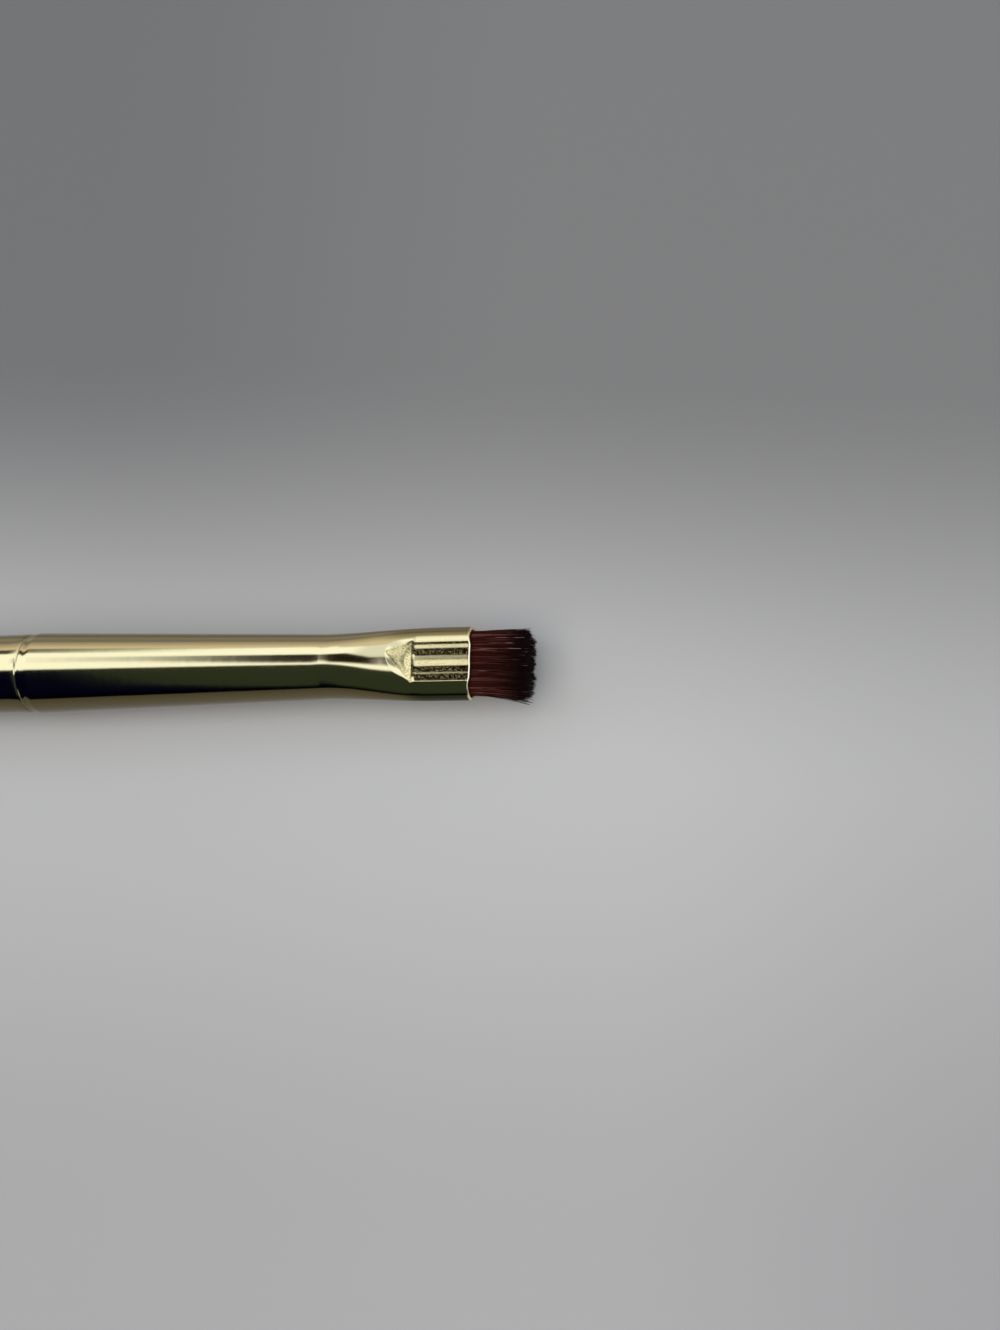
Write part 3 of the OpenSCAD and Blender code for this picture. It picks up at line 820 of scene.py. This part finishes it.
# Hair soaked in set glue: streaked along the brush, glossy in places.
def gluedHairMaterial():
    c = gluedHair
    material, graph = materialGraph("gluedHair")
    streak = graph.noise(graph.stretched(graph.point(), c["streakSizes"]), 1.0, 3.0)
    base = graph.colour(streak.step(*c["edge"]), c["dark"], c["pale"])
    shader = graph.shader(Base_Color=base, Roughness=streak * c["streakRough"] + c["rough"],
                          Normal=graph.bump(streak, c["height"]))
    graph.finish(shader)
    return material


# Glue behind the hair and round the tenon.
glue = {
    "deep": (0.55, 0.33, 0.08), "pale": (0.70, 0.50, 0.20), "cloudScale": 900.0,
    "edge": (0.3, 0.7), "rough": 0.12, "cloudRough": 0.2, "coat": 0.6,
    "bubbleScale": 2600.0, "bubbleEdge": (0.0, 0.25), "bubbleDepth": 0.00002,
}


# Set glue: amber, with a few bubbles and a soft skin.
def glueMaterial():
    c = glue
    material, graph = materialGraph("amberGlue")
    point = graph.point()
    cloud = graph.noise(point, c["cloudScale"], 3.0)
    bubble = graph.node("ShaderNodeTexVoronoi", inputs={
        "Vector": point, "Scale": c["bubbleScale"]}).step(*c["bubbleEdge"])
    base = graph.colour(cloud.step(*c["edge"]), c["deep"], c["pale"])
    shader = graph.shader(Base_Color=base, Roughness=cloud * c["cloudRough"] + c["rough"],
                          Coat_Weight=c["coat"], Normal=graph.bump(bubble, c["bubbleDepth"]))
    graph.finish(shader)
    return material


glueSkin = glueMaterial()
skins = {"hair_root": gluedHairMaterial(), "tenon_glue": glueSkin, "root_glue": glueSkin}
for node, material in skins.items():
    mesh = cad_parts[node].data
    mesh.materials.clear()
    mesh.materials.append(material)
print("hidden pieces made")

# Floor: one pale plane. Its grey falls off towards the back, the front and both ends, as the
# background of the photograph does. Runs are metres along y or x, and turn slants the back one.
# The falloff between the near, far, front and dark greys is painted shade.
floor = {
    "half": 1.5, "near": (0.375, 0.355, 0.328), "far": (0.147, 0.140, 0.130),
    "front": (0.300, 0.282, 0.265), "dark": (0.05, 0.05, 0.05),
    "backRun": (-0.010, 0.030), "turnAt": 0.077, "turn": 0.1, "frontRun": (0.005, 0.05),
    "rearRun": (0.030, 0.080), "rearPaintedShade": (0.05, 0.20), "rightRun": (0.085, 0.125),
    "rightPaintedShade": 0.15, "rough": 0.75, "specular": 0.25,
}


# A square plane at height 0. Near grey turns into the front one with -y and into the far one
# with y, along a slanting line. Both darken towards the rear and the right ends of x.
# This falloff is painted shade in the floor's colour.
def buildFloor():
    c = floor
    corners = np.array([[-1, -1, 0], [1, -1, 0], [1, 1, 0], [-1, 1, 0]]) * c["half"]
    thing = meshObject("floor", corners, [np.array([[0, 1, 2, 3]])])
    material, graph = materialGraph("paleFloor")
    x, y, _ = graph.axes(graph.point())
    back = (y + (x - c["turnAt"]) * c["turn"]).step(*c["backRun"])
    base = graph.colour((y * -1.0).step(*c["frontRun"]), c["near"], c["front"])
    base = graph.colour(back, base, c["far"])
    least, more = c["rearPaintedShade"]
    side = (1.0 - x.step(*c["rearRun"])) * (back * more + least)
    side = side + x.step(*c["rightRun"]) * (1.0 - back) * c["rightPaintedShade"]
    shader = graph.shader(Base_Color=graph.colour(side, base, c["dark"]), Roughness=c["rough"],
                          Specular_IOR_Level=c["specular"])
    graph.finish(shader)
    thing.data.materials.append(material)


buildFloor()

# World: two soft windows overhead with a dark bar between them, a glow behind them, a bright wall
# beyond the hair and a dark room in front. Angles are in degrees from straight up towards the
# back, and x is the direction's share along the brush. Edges are lines: between two values of x
# the angle goes from one to the other. Lights do the same, and soft pairs blur an edge.
sky = {
    "window": (1.17, 1.33, 1.60), "soft": (-3.0, 3.0), "barSoft": (-4.5, 4.5),
    "endSoft": (-4.0, 4.0), "upperStart": (-0.36, 0.03, 0.5, -12.0),
    "barStart": (-0.407, -0.327, 21.0, 6.0), "barStartOn": (-0.327, 0.03, 0.0, -6.0),
    "barEnd": (-0.20, 0.03, 35.0, 19.0), "lowerEnd": (-0.42, -0.32, 57.5, 66.0),
    "lowerEndNose": (-0.32, -0.29, 0.0, -6.0), "lowerEndOn": (-0.29, 0.03, 0.0, -9.0),
    "barLight": (-0.42, -0.35, 0.70, 0.0), "barLit": (-0.46, -0.43, 0.3, 0.0),
    "barClose": (0.06, 0.08), "barTone": (0.013, 0.008, 0.004),
    "lineAt": 57.0, "lineSoft": (4.5, 9.5), "line": (-0.48, -0.38, 0.95, 0.0),
    "lowerDim": 0.28, "dimFrom": (-0.20, -0.05), "dimTo": (0.07, 0.12),
    "diamond": 0.75, "diamondFrom": (0.11, 0.16), "diamondTo": (0.31, 0.36),
    "diamondLow": (5.0, 11.0), "diamondHigh": (19.0, 25.0),
    "wall": (0.45, 0.60), "wallLight": 1.0, "wallFoot": (-80.0, -60.0),
    "glow": (0.72, 0.70, 0.66), "horizon": (0.33, 0.32, 0.31), "glowEnd": (60.0, 92.0),
    "room": (0.027, 0.041, 0.029), "black": (0.0005, 0.0008, 0.012), "blackStart": -49.0,
    "blackAt": 0.407, "blackSlope": 452.0, "blackBend": (-0.43, -0.402, 29.0, 0.0),
    "blackFoot": (-87.0, -81.0),
}


# Light of the windows in a direction, how far it is past their upper edge, and how far past
# their lower one.
def windowLight(x, angle):
    k = sky
    upperStart = (angle - x.ramp(*k["upperStart"])).step(*k["soft"])
    barStart = angle - x.ramp(*k["barStart"]) - x.ramp(*k["barStartOn"])
    barStart = barStart.step(*k["barSoft"])
    barEnd = (angle - x.ramp(*k["barEnd"])).step(*k["soft"])
    end = x.ramp(*k["lowerEnd"]) + x.ramp(*k["lowerEndNose"]) + x.ramp(*k["lowerEndOn"])
    lowerEnd = (angle - end).step(*k["endSoft"])
    barLight = x.ramp(*k["barLight"]) + x.ramp(*k["barLit"]) + x.step(*k["barClose"])
    dim = x.step(*k["dimFrom"]) * (1.0 - x.step(*k["dimTo"])) * k["lowerDim"]
    bar = barStart * (1.0 - barEnd) * barLight
    lower = barEnd * (1.0 - lowerEnd) * (1.0 - dim)
    panes = upperStart * (1.0 - barStart) + bar + lower
    diamond = x.step(*k["diamondFrom"]) * (1.0 - x.step(*k["diamondTo"]))
    diamond = diamond * angle.step(*k["diamondLow"]) * (1.0 - angle.step(*k["diamondHigh"]))
    return panes * (1.0 - diamond * k["diamond"]), upperStart, lowerEnd


# Light from each direction: windows and wall over the bar's tone, the glow past their lower
# edge, and the room short of their upper one. A thin dark line crosses it towards the rear.
def buildWorld():
    k = sky
    world = bpy.data.worlds.new("studio")
    bpy.context.scene.world = world
    world.use_nodes = True
    graph = Graph(world.node_tree)
    x, y, z = graph.axes(graph.node("ShaderNodeTexCoord", output="Generated"))
    angle = y.maths("ARCTAN2", z) * (180 / math.pi)
    panes, upperStart, lowerEnd = windowLight(x, angle)
    line = (1.0 - abs(angle - k["lineAt"]).step(*k["lineSoft"])) * x.ramp(*k["line"])
    wall = x.step(*k["wall"]) * k["wallLight"] * angle.step(*k["wallFoot"])
    glow = graph.colour(angle.step(*k["glowEnd"]), k["glow"], k["horizon"])
    edge = angle - k["blackStart"] + (x + k["blackAt"]) * k["blackSlope"]
    wedge = (edge - x.ramp(*k["blackBend"])).step(*k["endSoft"]) * angle.step(*k["blackFoot"])
    room = graph.colour(wedge, k["black"], k["room"])
    dark = graph.colour(upperStart, room, k["barTone"])
    dim = graph.colour(lowerEnd, dark, glow)
    light = graph.colour(panes.maths("MAXIMUM", wall), dim, k["window"])
    light = graph.colour(line, light, k["barTone"])
    shader = graph.node("ShaderNodeBackground", inputs={"Color": light, "Strength": 1.0})
    graph.finish(shader, "ShaderNodeOutputWorld")


buildWorld()

# Lamp: one large soft panel above and in front, which brings the light to a plain level.
lamp = {"place": (0.02, -0.16, 0.72), "size": 0.9, "power": 6.5}


# It faces the origin, and neither reflections nor the camera see it.
def buildLamp():
    data = bpy.data.lights.new("panel", "AREA")
    data.size, data.energy = lamp["size"], lamp["power"]
    thing = bpy.data.objects.new("panel", data)
    bpy.context.scene.collection.objects.link(thing)
    thing.location = lamp["place"]
    thing.rotation_mode = "QUATERNION"
    thing.rotation_quaternion = (-Vector(lamp["place"])).to_track_quat("-Z", "Y")
    thing.visible_glossy = False
    thing.visible_camera = False


buildLamp()

# Camera: at the photograph's angle over the ferrule's nose, turned a little about its axis.
shot = {
    "back": (0.276, -0.167, 0.947), "roll": 1.27, "distance": 0.168,
    "target": (0.07425, 0.0, 0.00388), "shift": (0.00245, -0.00014), "lens": 50.08,
    "sensor": 36.0, "clip": (0.01, 20.0),
}


# Its right-hand side is x, less what lies along its line of sight, turned by the roll. It stands
# back from the target by its distance, after a shift to the right and upwards.
def buildCamera():
    back = Vector(shot["back"]).normalized()
    right = (Vector((1, 0, 0)) - back * back.x).normalized()
    up = back.cross(right)
    turn = math.radians(shot["roll"])
    right = right * math.cos(turn) - up * math.sin(turn)
    up = back.cross(right)
    shiftX, shiftY = shot["shift"]
    place = Vector(shot["target"]) + right * shiftX + up * shiftY + back * shot["distance"]
    data = bpy.data.cameras.new("camera")
    data.lens, data.sensor_width = shot["lens"], shot["sensor"]
    data.clip_start, data.clip_end = shot["clip"]
    thing = bpy.data.objects.new("camera", data)
    bpy.context.scene.collection.objects.link(thing)
    turned = Matrix((right, up, back)).transposed().to_4x4()
    turned.translation = place
    thing.matrix_world = turned
    bpy.context.scene.camera = thing


buildCamera()
bpy.context.scene.view_settings.view_transform = "Standard"
print("stage made")
